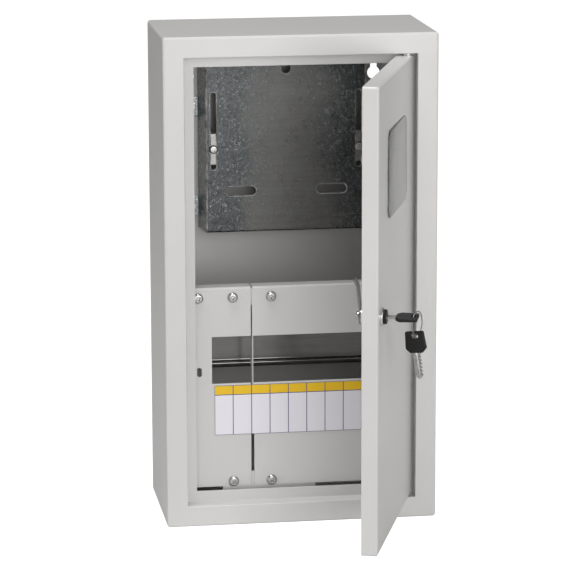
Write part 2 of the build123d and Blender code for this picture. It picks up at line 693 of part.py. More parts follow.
def lock_plug():
    """The turning core, with a square end for the cam and a threaded hole for its screw."""
    core = hole(PLUG_D, LOCK_X, LOCK_Z, CAP_BACK, BARREL_END)
    square = through(Rectangle(CAM_SQUARE, CAM_SQUARE), LOCK_X, LOCK_Z, BARREL_END, CAM_BACK_Y)
    tapped = hole(SMALL_SCREW_D + 2 * NUT_CLEARANCE, LOCK_X, LOCK_Z, CAM_BACK_Y - SMALL_SCREW_LENGTH, CAM_BACK_Y)
    return core + square - tapped - keyway()


def plug_cap():
    cap = hole(CAP_D, LOCK_X, LOCK_Z, CAP_FRONT, CAP_BACK)
    cap = fillet(cap.faces().sort_by(Axis.Y)[0].edges(), CAP_EDGE_R)
    return cap - keyway()


def lock_cam():
    """An arm on the square that slopes back from the lip, with its end hooked further back."""
    slope_y = CAM_Y + CAM_SLOPE_SET
    end_y = slope_y + CAM_HOOK_SET
    points = [(CAM_Y, -CAM_HUB_D / 2), (CAM_Y, CAM_SLOPE_START), (slope_y, CAM_LENGTH - CAM_HOOK),
              (end_y, CAM_LENGTH)]
    arm = folded(points, 2 * CAM_T, CAM_T, -CAM_HUB_D / 2, CAM_HUB_D, Side.RIGHT)
    tip = CAM_LENGTH + CAM_T
    outline = Circle(CAM_HUB_D / 2) + Pos(0, -tip / 2) * Rectangle(CAM_WIDTH, tip)
    arm &= through(outline, 0, 0, CAM_Y, end_y + CAM_T)
    arm -= through(Rectangle(CAM_SQUARE, CAM_SQUARE), 0, 0, CAM_Y, CAM_BACK_Y)
    return Pos(LOCK_X, 0, LOCK_Z) * arm


def cam_washer():
    disc = washer(SMALL_WASHER_D, SMALL_SCREW_D + 2 * NUT_CLEARANCE, SMALL_WASHER_T)
    return Pos(LOCK_X, CAM_BACK_Y, LOCK_Z) * TO_BACK * disc


def cam_screw():
    screw = pan_screw(SMALL_SCREW_D, SMALL_HEAD_D, SMALL_HEAD_H, SMALL_SCREW_LENGTH)
    return Pos(LOCK_X, CAM_BACK_Y + SMALL_WASHER_T, LOCK_Z) * TO_BACK * screw


# Keys, drawn flat round the bow's hole with the blade along +Y
BOW_END = -BOW_HOLE_FROM_END
BOW_FOOT = BOW_END + BOW_LENGTH
BLADE_TIP = BOW_FOOT + BLADE_LENGTH


def blade():
    """A flat blade with a pointed tip and a row of cuts along one edge."""
    half = BLADE_W / 2
    tip = BLADE_TIP
    outline = Polyline((-half, BOW_FOOT), (-half, tip - half), (0, tip), (half, tip - half), (half, BOW_FOOT),
                       close=True)
    key = extrude(make_face(outline), BLADE_T / 2, both=True)
    cut = Polyline((half, -TOOTH_PITCH / 2), (half - TOOTH_DEPTH, 0), (half, TOOTH_PITCH / 2), close=True)
    notch = extrude(make_face(cut), BLADE_T / 2, both=True)
    for i in range(TOOTH_COUNT):
        key -= Pos(0, BOW_FOOT + (i + 0.75) * TOOTH_PITCH, 0) * notch
    return key + Pos(0, BOW_FOOT - BLADE_TANG / 2, 0) * Box(BLADE_TANG_W, BLADE_TANG, BLADE_T)


def bow():
    """A moulded grip with a round-ended hole for the ring, closed round the blade's tang."""
    shoulder = BOW_FOOT - BOW_SHOULDER
    half = [(BOW_OUTER_W / 2, BOW_END), (BOW_WIDEST / 2, shoulder), (BOW_INNER_W / 2, BOW_FOOT)]
    outline = make_face(Polyline(*half, *[(-x, y) for x, y in reversed(half)], close=True))
    outline = fillet(outline.vertices(), BOW_CORNER_R)
    grip = extrude(outline, BOW_T / 2, both=True)
    grip = fillet(grip.faces().sort_by(Axis.Z)[-1].edges() + grip.faces().sort_by(Axis.Z)[0].edges(), BOW_EDGE_R)
    grip -= extrude(SlotOverall(BOW_HOLE_LENGTH, BOW_HOLE_W), BOW_T / 2, both=True)
    return grip - Pos(0, BOW_FOOT - BLADE_TANG / 2, 0) * Box(BLADE_TANG_W, BLADE_TANG, BLADE_T)


RING_REACH = sqrt(RING_R ** 2 - RING_DROP ** 2) - RING_STAND_OFF
RING_SIDE = (sin(radians(RING_TURN)), -cos(radians(RING_TURN)), 0)
RING_CENTRE = (LOCK_X + RING_SIDE[0] * RING_REACH, HOLE_Y + RING_SIDE[1] * RING_REACH, LOCK_Z - RING_DROP)
SPARE_PIVOT = (RING_CENTRE[0], RING_CENTRE[1], RING_CENTRE[2] - RING_R)

KEY_IN_LOCK = Pos(LOCK_X, HOLE_Y, LOCK_Z) * Rot(0, -KEY_ROLL, 0)
SPARE_PLANE = Plane(SPARE_PIVOT, x_dir=(RING_SIDE[1], -RING_SIDE[0], 0), z_dir=RING_SIDE)
SPARE_PLACE = SPARE_PLANE.location * Rot(0, 0, -SPARE_TILT) * Pos(-SPARE_WIRE_SIDE, SPARE_WIRE_RISE, 0)


def key_ring():
    """A wire ring that goes down through the bow's hole and hangs over its end."""
    plane = Plane(RING_CENTRE, x_dir=RING_SIDE, z_dir=(RING_SIDE[1], -RING_SIDE[0], 0))
    return plane.location * Torus(RING_R, RING_WIRE_D / 2)


CABINET_PARTS = {
    "cabinet_shell": cabinet_shell(),
    "back_wall": back_wall(),
    "meter_plate": meter_plate(),
    "plate_studs": plate_studs(),
    "plate_nuts": plate_nuts(),
    "left_slider": slider(-1),
    "left_slider_screw": slider_screw(-1),
    "right_slider": slider(1),
    "right_slider_screw": slider_screw(1),
    "upper_cover_bar": upper_cover_bar(),
    "lower_cover_bracket": lower_cover_bracket(),
    "left_cover": left_cover(),
    "right_cover": right_cover(),
    "cover_screws": cover_screws(),
    "cover_nuts": cover_nuts(),
    "module_label": module_label(),
    "din_rail": din_rail(),
    "rail_brackets": rail_brackets(),
    "rail_screws": rail_screws(),
    "earth_stud": earth_stud(),
    "earth_washers": earth_washers(),
    "earth_nut": earth_nut(),
    "hinge_pins": hinge_pins(),
    "hinge_washers": hinge_washers(),
}

DOOR_PARTS = {
    "door_panel": door_panel(),
    "window_pane": window_pane(),
    "pane_studs": pane_studs(),
    "pane_clips": pane_clips(),
    "door_earth_stud": door_earth_stud(),
    "door_earth_washer": door_earth_washer(),
    "door_earth_nut": door_earth_nut(),
    "lock_housing": lock_housing(),
    "lock_nut": lock_nut(),
    "lock_plug": lock_plug(),
    "plug_cap": plug_cap(),
    "lock_cam": lock_cam(),
    "cam_washer": cam_washer(),
    "cam_screw": cam_screw(),
    "key_blade": KEY_IN_LOCK * blade(),
    "key_bow": KEY_IN_LOCK * bow(),
    "key_ring": key_ring(),
    "spare_key_blade": SPARE_PLACE * blade(),
    "spare_key_bow": SPARE_PLACE * bow(),
}

TO_ORIGIN = Pos(0, 0, -MID_Z)
SWING = Pos(PIVOT_X, PIVOT_Y, 0) * Rot(0, 0, DOOR_OPEN) * Pos(-PIVOT_X, -PIVOT_Y, 0)

os.makedirs("parts", exist_ok=True)
for name, shape in CABINET_PARTS.items():
    export_step(TO_ORIGIN * shape, f"parts/{name}.step")
for name, shape in DOOR_PARTS.items():
    export_step(TO_ORIGIN * SWING * shape, f"parts/{name}.step")
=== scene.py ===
import json
from collections import namedtuple
from math import pi, radians, sqrt

import bmesh
import bpy
from bpy.props import FloatProperty, FloatVectorProperty, IntProperty, PointerProperty
from mathutils import Matrix, Vector

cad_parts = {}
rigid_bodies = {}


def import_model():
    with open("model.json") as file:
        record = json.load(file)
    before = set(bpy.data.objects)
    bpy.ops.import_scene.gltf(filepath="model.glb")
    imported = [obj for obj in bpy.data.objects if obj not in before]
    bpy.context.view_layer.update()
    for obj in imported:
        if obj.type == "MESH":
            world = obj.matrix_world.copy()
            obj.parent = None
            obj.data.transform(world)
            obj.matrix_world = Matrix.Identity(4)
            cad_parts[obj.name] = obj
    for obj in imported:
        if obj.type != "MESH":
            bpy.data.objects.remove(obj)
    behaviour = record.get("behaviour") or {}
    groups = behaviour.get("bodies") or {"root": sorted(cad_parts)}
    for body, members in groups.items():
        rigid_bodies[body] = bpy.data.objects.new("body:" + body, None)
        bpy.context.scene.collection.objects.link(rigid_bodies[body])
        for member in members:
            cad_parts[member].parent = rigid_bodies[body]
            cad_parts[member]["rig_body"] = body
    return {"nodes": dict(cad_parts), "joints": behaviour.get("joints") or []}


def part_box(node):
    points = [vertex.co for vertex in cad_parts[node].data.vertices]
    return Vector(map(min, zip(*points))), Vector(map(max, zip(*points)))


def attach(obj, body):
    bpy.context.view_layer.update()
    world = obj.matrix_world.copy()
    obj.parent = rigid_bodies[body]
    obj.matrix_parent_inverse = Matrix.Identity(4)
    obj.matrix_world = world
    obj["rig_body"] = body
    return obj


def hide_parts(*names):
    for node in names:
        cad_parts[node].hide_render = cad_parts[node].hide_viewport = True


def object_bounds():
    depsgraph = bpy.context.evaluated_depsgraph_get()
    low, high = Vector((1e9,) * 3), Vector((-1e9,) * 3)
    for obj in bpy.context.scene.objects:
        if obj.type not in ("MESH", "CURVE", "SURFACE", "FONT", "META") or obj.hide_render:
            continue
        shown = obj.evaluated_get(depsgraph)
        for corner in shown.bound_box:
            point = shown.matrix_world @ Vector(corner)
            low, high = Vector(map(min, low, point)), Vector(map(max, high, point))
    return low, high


bl_info = {
    "name": "Wall Enclosure Looks",
    "version": (1, 0, 0),
    "blender": (4, 5, 0),
    "location": "View3D > Sidebar > Enclosure",
    "description": "Finishes a wall enclosure and models its label, fasteners, keys and ring",
    "category": "Object",
}

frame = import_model()
CAD_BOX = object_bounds()

# The door stands open at rest. DOOR_TURN takes a place on the closed door to where it is at rest.
JOINTS = {joint["name"]: joint for joint in frame["joints"]}
HINGE = Vector(JOINTS["door_swing"]["pos_m"])
OPEN_ANGLE = radians(-JOINTS["door_swing"]["range_deg"][0])
DOOR_TURN = (Matrix.Translation(HINGE) @ Matrix.Rotation(OPEN_ANGLE, 4, "Z")
             @ Matrix.Translation(-HINGE))

# Turns that point a piece's own +Z out of the front, or into the box
TO_FRONT = Matrix.Rotation(radians(90), 4, "X")
TO_BACK = Matrix.Rotation(radians(-90), 4, "X")

MM = 0.001

# Points within WELD are one, faces below SLIVER go, and edges within FLUSH of a plane lie in it
WELD = 1e-6
SLIVER = 2e-6
FLUSH = 1e-5

# Faces that meet at less than this are one flat face
FLAT_ANGLE = radians(0.5)

# Edges sharper than these stay sharp: on most pieces, nuts, threads and key blades
SMOOTH_ANGLE = radians(35)
NUT_ANGLE = radians(25)
THREAD_ANGLE = radians(50)
BLADE_ANGLE = radians(20)

# Steps round a turned piece, a turn of thread and a turn of the ring, and across rounded edges
ROUND_STEPS = 40
THREAD_STEPS = 20
RING_STEPS = 72
EDGE_STEPS = 2
CORNER_STEPS = 3
DOME_STEPS = 7

# A face whose normal passes this points straight along an axis
SQUARE = 0.9

# An edge above this share of a piece's height is on its top
NEAR_TOP = 0.99

# How far behind the meter plate's face its side walls start
FLANK_SET = 2 * MM

# A face at the plate's front that leans sideways by more than this lies on a fold or in a slot
FOLD_LEAN = 0.2

# A face of the pane that points forward by less than this lies on its edge
EDGE_LEAN = 0.8

# Material slots after a piece's own: its edges (on the bare sheet a painted highlight, on the pane
# painted shade), and the side walls of a bare sheet, lightened as painted light
EDGE_SLOT = 1
SIDE_SLOT = 2

# The label's material slots in their order
LABEL_FINISHES = ("ink", "paper", "header")

# The split ring's wire, and the shares of its pitch that the strip and its corners take
RING_WIRE = 1.2 * MM
RING_FILL = 0.94
RING_CORNER = 0.4

# Fasteners by the size of their thread
Screw = namedtuple("Screw", "shank_r head_r head_h")
Thread = namedtuple("Thread", "radius pitch")
Nut = namedtuple("Nut", "across bore_r")
M4_SCREW = Screw(2.0 * MM, 4.2 * MM, 2.6 * MM)
M5_SCREW = Screw(2.5 * MM, 5.0 * MM, 3.4 * MM)
M4_THREAD = Thread(2.0 * MM, 0.7 * MM)
M5_THREAD = Thread(2.5 * MM, 0.8 * MM)
M6_THREAD = Thread(3.0 * MM, 1.0 * MM)
M5_NUT = Nut(8.0 * MM, 2.55 * MM)
M6_NUT = Nut(10.0 * MM, 3.05 * MM)
COVER_SCREW_LENGTH = 12.0 * MM
FIXING_SCREW_LENGTH = 10.0 * MM
CAM_SCREW_LENGTH = 8.0 * MM

# Degrees that the first screw of a set is turned, and each one after it
FIRST_TWIST = 25
TWIST_STEP = 37

# Shares of a screw's shank radius, head height and head radius
END_CHAMFER = 0.3
HEAD_DOME = 0.66
RECESS_DEPTH = 0.62
RECESS_WIDTH = 0.34
RECESS_TAPER = (0.45, 0.6, 1.0)

# Shares of a nut's height and corner radius
NUT_CHAMFER = 0.2
TURNED_CLEAR = 1.01

# Shares of a thread's pitch, and the pitches of a stud that stay plain
THREAD_FLANK = 0.44
THREAD_CREST = 0.12
THREAD_START = 0.9
PLAIN_PITCHES = 2

# Shares of a key groove's width
GROOVE_FLOOR = 0.6
GROOVE_OFFSET = 0.4

# Shares of a base colour: a lighter sheet on the plate's side walls as painted light, the rail's
# zinc, a darker zinc on the sliders and cam and a darker pane edge as painted shade; and how clear
# the pane and its edge are
FLANK_PAINTED_LIGHT_TONE = 4.2
RAIL_TONE = 0.36
ZINC_SHADE_TONE = 0.55
PANE_EDGE_SHADE = 0.10
PANE_CLEAR = 0.85
PANE_EDGE_CLEAR = 0.25
DARKEST = (0.0, 0.0, 0.0, 1.0)
LIGHTEST = (1.0, 1.0, 1.0, 1.0)

# Solids by their finish, and the sheets whose edges are rounded
PAINTED = ("cabinet_shell", "back_wall", "upper_cover_bar", "lower_cover_bracket",
           "left_cover", "right_cover", "door_panel")
GALVANISED = ("meter_plate", "rail_brackets", "pane_clips")
# The sliders and the lock cam take a darker copy of the zinc as painted shade
ZINC_IN_SHADE = ("left_slider", "right_slider", "lock_cam")
ZINC_PLATED = ("earth_washers", "hinge_pins", "hinge_washers",
               "door_earth_washer", "lock_nut", "cam_washer")
PLATED = ("lock_housing", "lock_plug")
BLACK = ("plug_cap",)
SHEETS = ("cabinet_shell", "meter_plate", "left_cover", "right_cover", "din_rail", "door_panel")

# Where the photograph was taken from, in the frame's metres and degrees
CAMERA_PLACE = (-0.42544, -2.91497, 0.59713)
CAMERA_TURN = -8.415
CAMERA_DOWN = 11.681
CAMERA_ROLL = -0.142
CAMERA_LENS = 192.36
CAMERA_SENSOR = 36.0
CAMERA_SHIFT = (-0.00375, -0.03318)
CAMERA_REACH = 100.0

# Where each lamp hangs and how wide it is, in metres
LAMPS = {
    "key": ((0.44, -2.91, 0.56), 1.9),
    "side": ((2.35, -0.60, 0.50), 1.4),
    "top": ((-0.35, -0.50, 2.10), 0.8),
    "fill": ((-2.40, -0.90, 0.50), 1.4),
}


class EnclosureFinishes(bpy.types.PropertyGroup):
    """Colours of the enclosure's finishes."""

    paint: FloatVectorProperty(
        name="Paint", description="Light grey powder coat",
        subtype="COLOR", size=4, default=(0.650, 0.641, 0.628, 1.0))
    sheet: FloatVectorProperty(
        name="Galvanised sheet", description="Middle tone of the zinc spangle",
        subtype="COLOR", size=4, default=(0.115, 0.117, 0.116, 1.0))
    zinc: FloatVectorProperty(
        name="Zinc plating", description="Screws, nuts and small pressings",
        subtype="COLOR", size=4, default=(0.54, 0.53, 0.515, 1.0))
    plating: FloatVectorProperty(
        name="Bright plating", description="Lock barrel and its collar",
        subtype="COLOR", size=4, default=(0.78, 0.77, 0.75, 1.0))
    grip: FloatVectorProperty(
        name="Black moulding", description="Key grips and the cap of the lock",
        subtype="COLOR", size=4, default=(0.0045, 0.0045, 0.005, 1.0))
    header: FloatVectorProperty(
        name="Label header", description="Yellow band of the label",
        subtype="COLOR", size=4, default=(0.91, 0.57, 0.012, 1.0))
    paper: FloatVectorProperty(
        name="Label paper", description="Blank fields of the label",
        subtype="COLOR", size=4, default=(0.86, 0.84, 0.90, 1.0))
    ink: FloatVectorProperty(
        name="Label lines", description="Thin lines round the label's fields",
        subtype="COLOR", size=4, default=(0.115, 0.095, 0.21, 1.0))
    pane: FloatVectorProperty(
        name="Window", description="Tint of the clear pane",
        subtype="COLOR", size=4, default=(0.80, 0.79, 0.79, 1.0))


class EnclosureSizes(bpy.types.PropertyGroup):
    """Sizes of the pieces that are modelled here."""

    label_fields: IntProperty(
        name="Label fields", description="Module fields across the label", default=9, min=1)
    header_height: FloatProperty(
        name="Header height", description="Height of the label's yellow band",
        default=9.2 * MM, unit="LENGTH")
    line_width: FloatProperty(
        name="Line width", description="Printed line between two fields",
        default=0.8 * MM, unit="LENGTH")
    recess_reach: FloatProperty(
        name="Recess reach", description="Span of a cross recess as a share of its screw head",
        default=0.62)
    thread_depth: FloatProperty(
        name="Thread depth", description="Depth of a thread as a share of its pitch", default=0.54)
    edge_round: FloatProperty(
        name="Edge round", description="Rounding of the cut sheet edges",
        default=0.3 * MM, unit="LENGTH")
    punch_round: FloatProperty(
        name="Punched round", description="Rounding of the slots punched in the meter plate",
        default=0.85 * MM, unit="LENGTH")
    ring_turns: IntProperty(
        name="Ring turns", description="Turns of wire in the split ring", default=2, min=1)
    groove_width: FloatProperty(
        name="Key groove", description="Width of the groove milled along a key blade",
        default=1.9 * MM, unit="LENGTH")
    groove_depth: FloatProperty(
        name="Key groove depth", description="Depth of the groove on each side",
        default=0.55 * MM, unit="LENGTH")


class EnclosureStage(bpy.types.PropertyGroup):
    """Floor and light."""

    floor_size: FloatProperty(
        name="Floor", description="Side of the pale floor", default=12.0, unit="LENGTH")
    floor_glow: FloatProperty(
        name="Floor glow", description="Light that the camera sees from the floor", default=0.90)
    sky: FloatProperty(
        name="Surround", description="Even light from all round", default=0.20)
    key: FloatProperty(
        name="Key light", description="Power of the large front light, in watts", default=40.5)
    side: FloatProperty(
        name="Side light", description="Power of the light from the right, in watts", default=7.5)
    top: FloatProperty(
        name="Top light", description="Power of the light overhead, in watts", default=24.0)
    fill: FloatProperty(
        name="Fill light", description="Power of the light from the left, in watts", default=11.5)


# Selecting and shaping
def select_only(*pieces):
    if bpy.context.mode != "OBJECT":
        bpy.ops.object.mode_set(mode="OBJECT")
    bpy.ops.object.select_all(action="DESELECT")
    for piece in pieces:
        piece.select_set(True)
    if pieces:
        bpy.context.view_layer.objects.active = pieces[0]


def start(name, add, **size):
    """Add one primitive with nothing else selected."""
    select_only()
    add(**size)
    piece = bpy.context.active_object
    piece.name = name
    piece.data.name = name
    return piece


def edit(piece, kind="FACE"):
    select_only(piece)
    bpy.ops.object.mode_set(mode="EDIT")
    bpy.ops.mesh.select_mode(type=kind)
    pick_none()


def leave():
    bpy.ops.object.mode_set(mode="OBJECT")


def pick_all():
    bpy.ops.mesh.select_all(action="SELECT")


def pick_none():
    bpy.ops.mesh.select_all(action="DESELECT")


def pick_faces(piece, wanted):
    """Select the faces that a test on their middle and normal accepts."""
    mesh = bmesh.from_edit_mesh(piece.data)
    for face in mesh.faces:
        face.select_set(wanted(face.calc_center_median(), face.normal))
    bmesh.update_edit_mesh(piece.data)


def pick_edges(piece, wanted):
    """Select the edges whose two ends a test accepts."""
    mesh = bmesh.from_edit_mesh(piece.data)
    for edge in mesh.edges:
        edge.select_set(all(wanted(vert.co) for vert in edge.verts))
    bmesh.update_edit_mesh(piece.data)


def finish_picked(piece, index):
    """Give the selected faces one of the piece's materials."""
    piece.active_material_index = index
    bpy.ops.object.material_slot_assign()


def close_ends():
    """Fill the open ends of a swept mesh and turn all its faces outwards."""
    pick_none()
    bpy.ops.mesh.select_non_manifold()
    bpy.ops.mesh.fill_holes(sides=0)
    pick_all()
    bpy.ops.mesh.normals_make_consistent(inside=False)


def push(x=0.0, z=0.0):
    bpy.ops.mesh.extrude_region_move(TRANSFORM_OT_translate={"value": (x, 0.0, z)})


def apply(piece, kind, **settings):
    """Add one modifier and apply it."""
    select_only(piece)
    modifier = piece.modifiers.new(kind.title(), kind)
    for key, value in settings.items():
        setattr(modifier, key, value)
    bpy.ops.object.modifier_apply(modifier=modifier.name)


def cut(piece, tool, operation="DIFFERENCE"):
    """Cut one mesh by another, or join them; the other is used up."""
    apply(piece, "BOOLEAN", operation=operation, object=tool, solver="EXACT")
    mesh = tool.data
    bpy.data.objects.remove(tool)
    bpy.data.meshes.remove(mesh)


def place(piece, matrix):
    """Move a piece, then put its place into its mesh."""
    piece.matrix_world = matrix
    select_only(piece)
    bpy.ops.object.transform_apply(location=True, rotation=True, scale=True)


def settle(piece):
    """Put a new primitive's own place and scale into its mesh."""
    place(piece, piece.matrix_basis.copy())


def copies(model, places, name):
    """One piece made of copies of a model at the given places; the model is used up."""
    made = []
    for matrix in places:
        select_only(model)
        bpy.ops.object.duplicate()
        made.append(bpy.context.active_object)
        place(made[-1], matrix)
    mesh = model.data
    bpy.data.objects.remove(model)
    bpy.data.meshes.remove(mesh)
    select_only(*made)
    if len(made) > 1:
        bpy.ops.object.join()
    piece = bpy.context.active_object
    piece.name = name
    piece.data.name = name
    return piece


def smooth(piece, angle=SMOOTH_ANGLE):
    """Drop faces without a size, and shade a piece smooth up to an angle."""
    edit(piece)
    pick_all()
    bpy.ops.mesh.dissolve_degenerate(threshold=SLIVER)
    leave()
    select_only(piece)
    bpy.ops.object.shade_smooth_by_angle(angle=angle)


def hand_over(piece, node, material=None):
    """Let a piece stand for a solid: same body, the given material if any, and the solid is hidden.
    """
    if material:
        piece.data.materials.clear()
        piece.data.materials.append(material)
    solid = frame["nodes"][node]
    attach(piece, solid["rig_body"])
    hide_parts(node)


def node_copy(node, name):
    """A welded copy of a solid's mesh, to be worked on."""
    select_only()
    mesh = frame["nodes"][node].data.copy()
    piece = bpy.data.objects.new(name, mesh)
    mesh.name = name
    bpy.context.scene.collection.objects.link(piece)
    edit(piece, "VERT")
    pick_all()
    bpy.ops.mesh.remove_doubles(threshold=WELD)
    leave()
    return piece


def solids(node, turn=Matrix()):
    """Lowest and highest corner of each separate solid in a node, with a turn undone first."""
    mesh = bmesh.new()
    mesh.from_mesh(frame["nodes"][node].data)
    bmesh.ops.remove_doubles(mesh, verts=mesh.verts, dist=WELD)
    mesh.transform(turn.inverted())
    left = set(mesh.verts)
    boxes = []
    while left:
        island = [left.pop()]
        for vert in island:
            near = {edge.other_vert(vert) for edge in vert.link_edges} & left
            left -= near
            island.extend(near)
        spread = list(zip(*[vert.co for vert in island]))
        boxes.append((Vector(map(min, spread)), Vector(map(max, spread))))
    mesh.free()
    return sorted(boxes, key=lambda box: tuple(box[0]))


def seats(node, turn, facing):
    """Places for a piece on the seat of each solid in a node, and how far a solid stands out."""
    boxes = solids(node, turn)
    places = []
    for low, high in boxes:
        foot = high.y if facing is TO_FRONT else low.y
        middle = Vector(((low.x + high.x) / 2, foot, (low.z + high.z) / 2))
        places.append(turn @ Matrix.Translation(middle) @ facing)
    low, high = boxes[0]
    return places, high.y - low.y


# Finishes
def new_material(name, **values):
    """A material whose even values sit on the shader's own sockets."""
    material = bpy.data.materials.new(name)
    material.use_nodes = True
    shader = material.node_tree.nodes["Principled BSDF"]
    for socket, value in values.items():
        shader.inputs[socket.replace("_", " ")].default_value = value
    return material


class Nodes:
    """Short ways to add and join a material's nodes; patterns lie on Object coordinates."""

    def __init__(self, material):
        self.tree = material.node_tree
        self.shader = self.tree.nodes["Principled BSDF"]
        self.place = self.add("ShaderNodeTexCoord").outputs["Object"]

    def add(self, kind, links=(), **settings):
        node = self.tree.nodes.new(kind)
        for key, value in settings.items():
            setattr(node, key, value)
        for socket, value in dict(links).items():
            self.set(node.inputs[socket], value)
        return node

    def set(self, socket, value):
        if isinstance(value, bpy.types.NodeSocket):
            self.tree.links.new(value, socket)
        else:
            socket.default_value = value

    def stretched(self, scale):
        links = {"Vector": self.place, "Scale": scale}
        return self.add("ShaderNodeMapping", links).outputs["Vector"]

    def noise(self, scale, detail=2.0, place=None):
        links = {"Vector": place or self.place, "Scale": scale, "Detail": detail}
        return self.add("ShaderNodeTexNoise", links).outputs["Fac"]

    def cells(self, scale, place=None):
        links = {"Vector": place or self.place, "Scale": scale}
        return self.add("ShaderNodeTexVoronoi", links).outputs["Color"]

    def ramp(self, value, *stops):
        """Map a value to greys or colours given as (position, colour)."""
        node = self.add("ShaderNodeValToRGB", {"Fac": value})
        elements = node.color_ramp.elements
        while len(elements) < len(stops):
            elements.new(0.5)
        for element, (position, colour) in zip(elements, stops):
            element.position = position
            element.color = colour
        return node.outputs["Color"]

    def range(self, value, low, high):
        links = {"Value": value, "To Min": low, "To Max": high}
        return self.add("ShaderNodeMapRange", links).outputs["Result"]

    def math(self, operation, a, b):
        return self.add("ShaderNodeMath", {0: a, 1: b}, operation=operation).outputs["Value"]

    def tint(self, factor, colour_a, colour_b):
        """Mix two colours, whose sockets share their names with others and so go by number."""
        links = {"Factor": factor, 6: colour_a, 7: colour_b}
        return self.add("ShaderNodeMix", links, data_type="RGBA").outputs[2]

    def bump(self, height, distance, strength):
        links = {"Height": height, "Distance": distance, "Strength": strength}
        self.set(self.shader.inputs["Normal"], self.add("ShaderNodeBump", links).outputs["Normal"])

    def colour(self, value):
        self.set(self.shader.inputs["Base Color"], value)

    def rough(self, value):
        self.set(self.shader.inputs["Roughness"], value)


def shade(colour, factor):
    return tuple(channel * factor for channel in colour[:3]) + (1.0,)


def powder_coat(colour):
    """Semi-gloss light grey coat with a fine orange peel and faint clouds of tone."""
    material = new_material("light_grey_powder_coat", Specular_IOR_Level=0.5)
    make = Nodes(material)
    clouds = make.noise(scale=9.0, detail=3.0)
    grain = make.noise(scale=1400.0, detail=2.0)
    tone = make.ramp(clouds, (0.3, shade(colour, 0.975)), (0.7, shade(colour, 1.02)))
    make.colour(make.tint(make.range(grain, 0.0, 0.03), tone, shade(colour, 0.82)))
    make.rough(make.range(make.noise(scale=260.0, detail=3.0), 0.26, 0.33))
    make.bump(make.noise(scale=900.0, detail=1.0), distance=0.00003, strength=0.08)
    return material


def galvanised_sheet(name, colour):
    """Zinc-coated sheet: small cold crystals with bright specks, and smooth warmer fields."""
    material = new_material(name, Metallic=0.8)
    make = Nodes(material)
    large = make.cells(scale=420.0, place=make.stretched((1.0, 1.0, 0.8)))
    small = make.cells(scale=1150.0)
    gloss = make.add("ShaderNodeSeparateColor", {"Color": large}).outputs["Red"]
    speck = make.add("ShaderNodeSeparateColor", {"Color": small}).outputs["Green"]
    crystals = make.math("ADD", make.math("MULTIPLY", gloss, 0.35),
                         make.math("MULTIPLY", speck, 0.65))
    cold = (colour[0] * 0.72, colour[1] * 0.76, colour[2] * 0.78, 1.0)
    warm = (colour[0] * 1.16, colour[1] * 1.13, colour[2] * 1.08, 1.0)
    spangle = make.ramp(crystals, (0.10, shade(cold, 0.40)), (0.55, shade(cold, 0.86)),
                        (0.80, shade(cold, 1.25)), (0.96, shade(cold, 3.4)))
    drawn = make.noise(scale=700.0, detail=3.0, place=make.stretched((0.03, 1.0, 1.0)))
    rolled = make.ramp(drawn, (0.35, shade(warm, 0.90)), (0.65, shade(warm, 1.06)))
    # The smooth fields fade out towards the sheet's two sides
    across = make.add("ShaderNodeSeparateXYZ", {"Vector": make.place}).outputs["X"]
    edge = make.math("MULTIPLY", make.math("ABSOLUTE", across, 0.0), 8.0)
    clouds = make.noise(scale=11.0, detail=4.0, place=make.stretched((1.0, 1.0, 0.6)))
    fields = make.ramp(make.math("SUBTRACT", make.math("ADD", clouds, 0.30), edge),
                       (0.36, DARKEST), (0.58, LIGHTEST))
    make.colour(make.tint(make.math("MULTIPLY", fields, 0.88), spangle, rolled))
    make.rough(make.range(gloss, 0.26, 0.42))
    make.bump(crystals, distance=0.00003, strength=0.4)
    return material


def burnished_edge(colour):
    """Punched or folded edge of the zinc sheet, painted brighter than the sheet with random
    patches: partly bare cut steel, partly a painted highlight.
    """
    material = new_material("burnished_edge", Metallic=0.25)
    make = Nodes(material)
    rub = make.noise(scale=160.0, detail=4.0)
    make.colour(make.ramp(rub, (0.40, shade(colour, 0.45)), (0.62, shade(colour, 1.35))))
    make.rough(make.range(rub, 0.46, 0.24))
    return material


def rolled_zinc(colour):
    """Bright zinc on a roll-formed strip, with fine lines along its length."""
    material = new_material("bright_rolled_zinc", Metallic=1.0)
    make = Nodes(material)
    lines = make.noise(scale=900.0, detail=3.0, place=make.stretched((0.02, 1.0, 1.0)))
    clouds = make.noise(scale=60.0, detail=3.0)
    make.colour(make.ramp(make.math("MULTIPLY", make.math("ADD", lines, clouds), 0.5),
                          (0.35, shade(colour, 0.86)), (0.65, shade(colour, 1.1))))
    make.rough(make.range(clouds, 0.12, 0.20))
    make.bump(lines, distance=0.00001, strength=0.25)
    return material


def zinc_plate(name, colour):
    """Zinc-plated piece: a soft bright metal with a mottled, slightly milky surface."""
    material = new_material(name, Metallic=1.0)
    make = Nodes(material)
    mottle = make.noise(scale=700.0, detail=4.0)
    make.colour(make.ramp(mottle, (0.30, shade(colour, 0.72)), (0.70, shade(colour, 1.12))))
    make.rough(make.range(make.noise(scale=350.0), 0.20, 0.42))
    make.bump(mottle, distance=0.00002, strength=0.3)
    return material


def bright_plating(colour):
    """Polished plating over a die casting, a little uneven."""
    material = new_material("bright_plating", Metallic=1.0)
    make = Nodes(material)
    mottle = make.noise(scale=240.0, detail=3.0)
    make.colour(make.ramp(mottle, (0.30, shade(colour, 0.90)), (0.70, shade(colour, 1.05))))
    make.rough(make.range(mottle, 0.10, 0.20))
    make.bump(mottle, distance=0.00003, strength=0.15)
    return material


